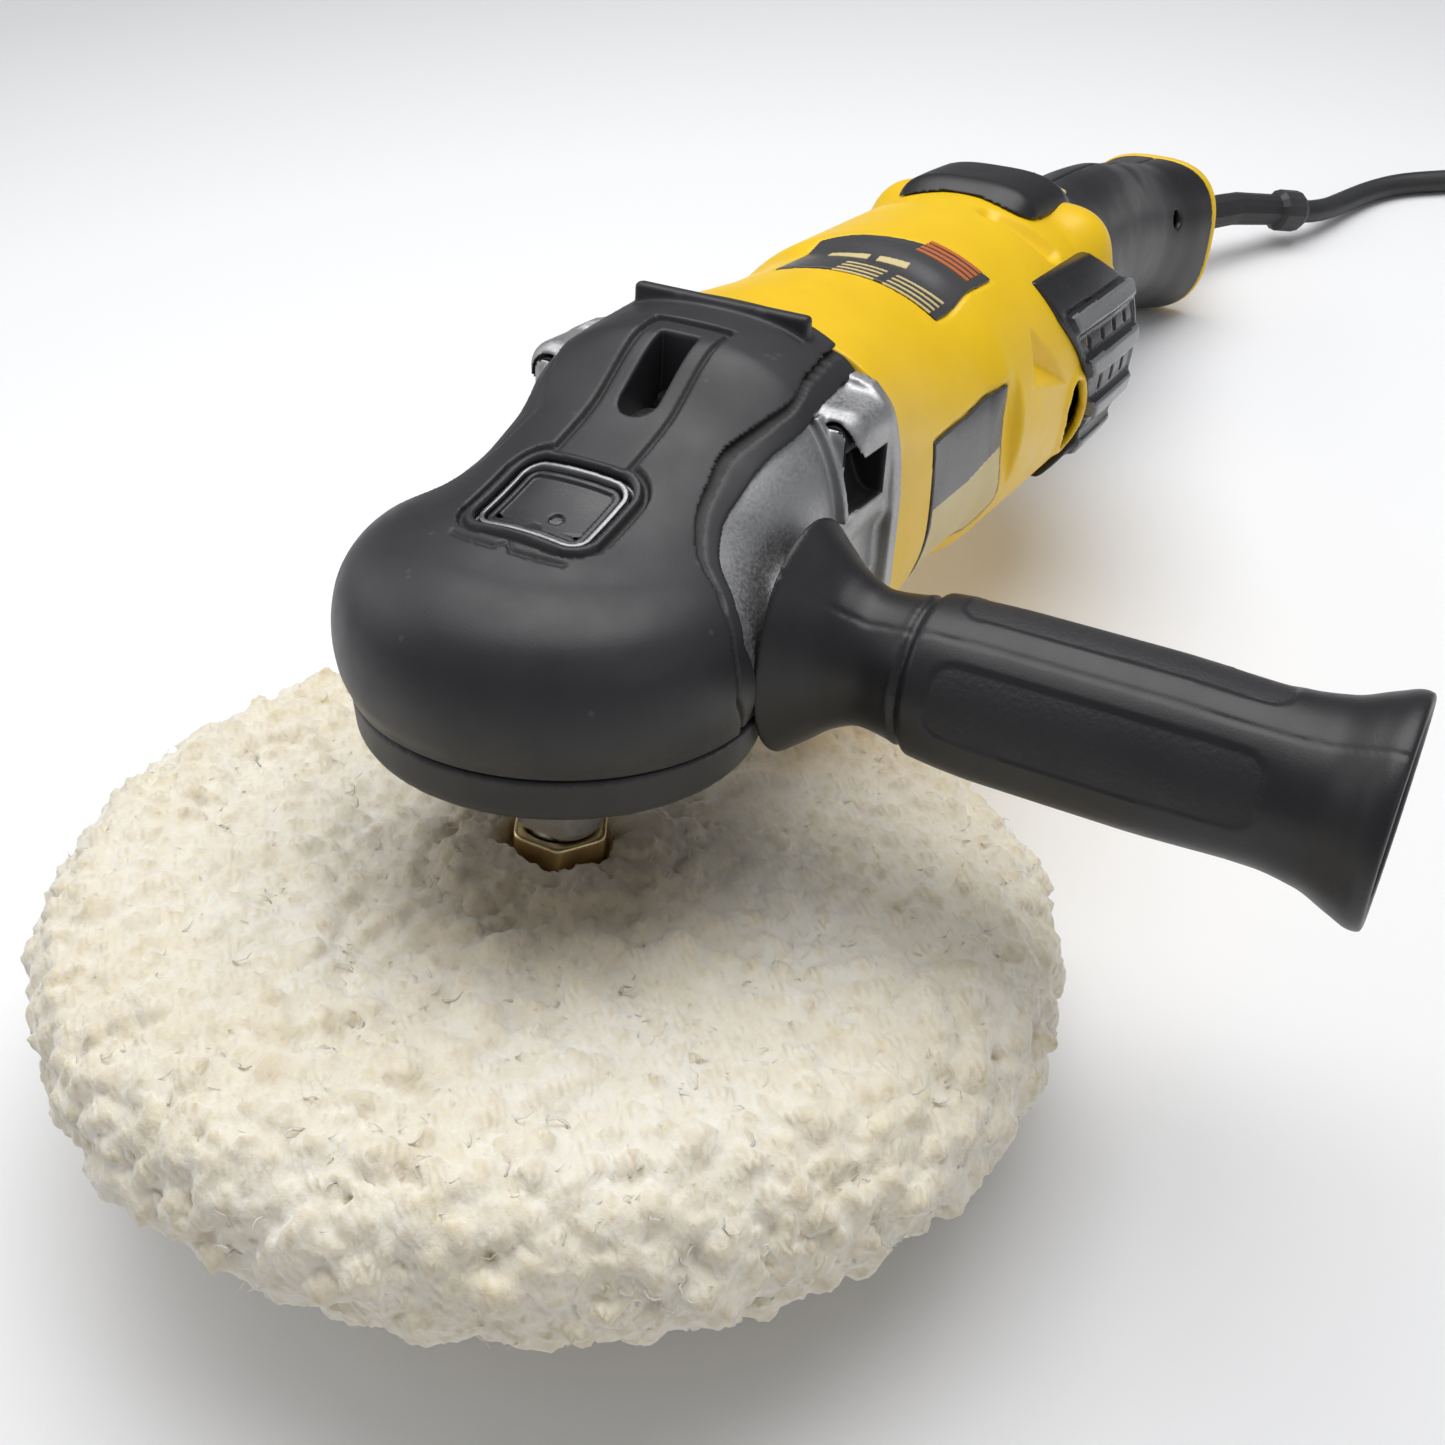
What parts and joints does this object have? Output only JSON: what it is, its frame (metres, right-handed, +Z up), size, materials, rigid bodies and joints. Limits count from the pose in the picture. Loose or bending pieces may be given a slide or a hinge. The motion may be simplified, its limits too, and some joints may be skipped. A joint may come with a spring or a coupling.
{
  "type": "rotary polisher",
  "caption": "Corded rotary polisher with a wool pad on a right-angle gear head, side handle, motor body, rear switch handle and a coiled mains cord.",
  "frame": {"origin": "on the floor under the middle of the tool, cord left out, with the tool standing on its pad edge and rear handle", "axes": "+X towards the gear head, +Y towards the side handle, +Z up; the spindle leans back 11.8 degrees towards -X"},
  "size_m": [0.7516, 0.3829, 0.1581],
  "materials": {
    "wool": "thick tufted wool pile",
    "brass": "machined",
    "steel": "ground and turned",
    "cast_metal": "die cast, fine grain",
    "copper": "turned copper",
    "black_rubber": "soft touch, fine grain",
    "black_plastic": "moulded, slight sheen",
    "yellow_plastic": "glass filled, satin",
    "name_plate": "printed film",
    "carbon": "dark, dull"
  },
  "bodies": {
    "root": {"spindle_bush": "brass", "shaft_bush": "brass", "brush_holder_left": "brass", "brush_holder_right": "brass", "plug_blade_1": "brass", "plug_blade_2": "brass", "spindle_bearing": "steel", "lock_spring": "steel", "pinion_bearing": "steel", "front_bearing": "steel", "rear_bearing": "steel", "stator": "steel", "trigger_spring": "steel", "side_handle_stud": "steel", "handle_screw_1": "steel", "handle_screw_2": "steel", "gear_case": "cast_metal", "gear_plate": "cast_metal", "head_cover": "black_rubber", "bearing_cover": "black_rubber", "handle_left": "black_rubber", "handle_right": "black_rubber", "side_handle": "black_rubber", "strain_relief": "black_rubber", "power_cord": "black_rubber", "cord_tail": "black_rubber", "cord_coil": "black_rubber", "plug": "black_rubber", "filter_cover_left": "black_plastic", "filter_cover_right": "black_plastic", "dial_cover": "black_plastic", "switch_body": "black_plastic", "speed_module": "black_plastic", "motor_housing": "yellow_plastic", "end_cap": "yellow_plastic", "name_plate_left": "name_plate", "name_plate_right": "name_plate", "rating_plate": "name_plate", "brush_left": "carbon", "brush_right": "carbon", "case_screw_1": "carbon", "case_screw_2": "carbon"},
    "spindle": {"spindle": "steel", "ring_gear": "steel", "pad_adapter": "brass", "pad_hub": "black_plastic", "wool_pad": "wool"},
    "pinion_shaft": {"pinion_shaft": "steel", "helical_gear": "steel"},
    "armature": {"armature_shaft": "steel", "armature_core": "steel", "commutator": "copper", "cooling_fan": "black_plastic"},
    "trigger": {"trigger": "black_plastic"},
    "lock_on_button": {"lock_on_button": "black_plastic"},
    "speed_dial": {"speed_dial": "black_plastic"},
    "spindle_lock": {"lock_button": "black_plastic"}
  },
  "joints": [
    {"name": "spindle_spin", "type": "hinge", "parent": "root", "child": "spindle", "pos_m": [0.16756, -0.02525, 0.02137], "axis": [-0.2044, 0, 0.9789], "continuous": true},
    {"name": "pinion_spin", "type": "hinge", "parent": "root", "child": "pinion_shaft", "pos_m": [0.14283, -0.02525, 0.13982], "axis": [0.9789, 0, 0.2044], "continuous": true},
    {"name": "armature_spin", "type": "hinge", "parent": "root", "child": "armature", "pos_m": [0.1465, -0.02525, 0.1222], "axis": [0.9789, 0, 0.2044], "continuous": true},
    {"name": "trigger_squeeze", "type": "hinge", "parent": "root", "child": "trigger", "pos_m": [-0.15894, -0.02525, 0.039], "axis": [0, 1, 0], "range_deg": [0, 6], "stiffness_Nm_per_rad": 0.6, "springref_deg": -11.46, "deforming": ["trigger_spring"]},
    {"name": "lock_on_press", "type": "slide", "parent": "root", "child": "lock_on_button", "axis": [0, 1, 0], "range_m": [0, 0.0024], "stiffness_N_per_m": 300, "springref_m": -0.003},
    {"name": "speed_dial_turn", "type": "hinge", "parent": "root", "child": "speed_dial", "pos_m": [-0.11451, -0.02525, 0.10508], "axis": [0, 1, 0], "range_deg": [-135, 135]},
    {"name": "spindle_lock_press", "type": "slide", "parent": "root", "child": "spindle_lock", "axis": [0.2044, 0, -0.9789], "range_m": [0, 0.0024], "stiffness_N_per_m": 400, "springref_m": -0.004, "deforming": ["lock_spring"]}
  ],
  "couplings": [
    {"joint": "pinion_spin", "follows": "spindle_spin", "ratio": -2.8889},
    {"joint": "armature_spin", "follows": "spindle_spin", "ratio": 8.6667}
  ]
}
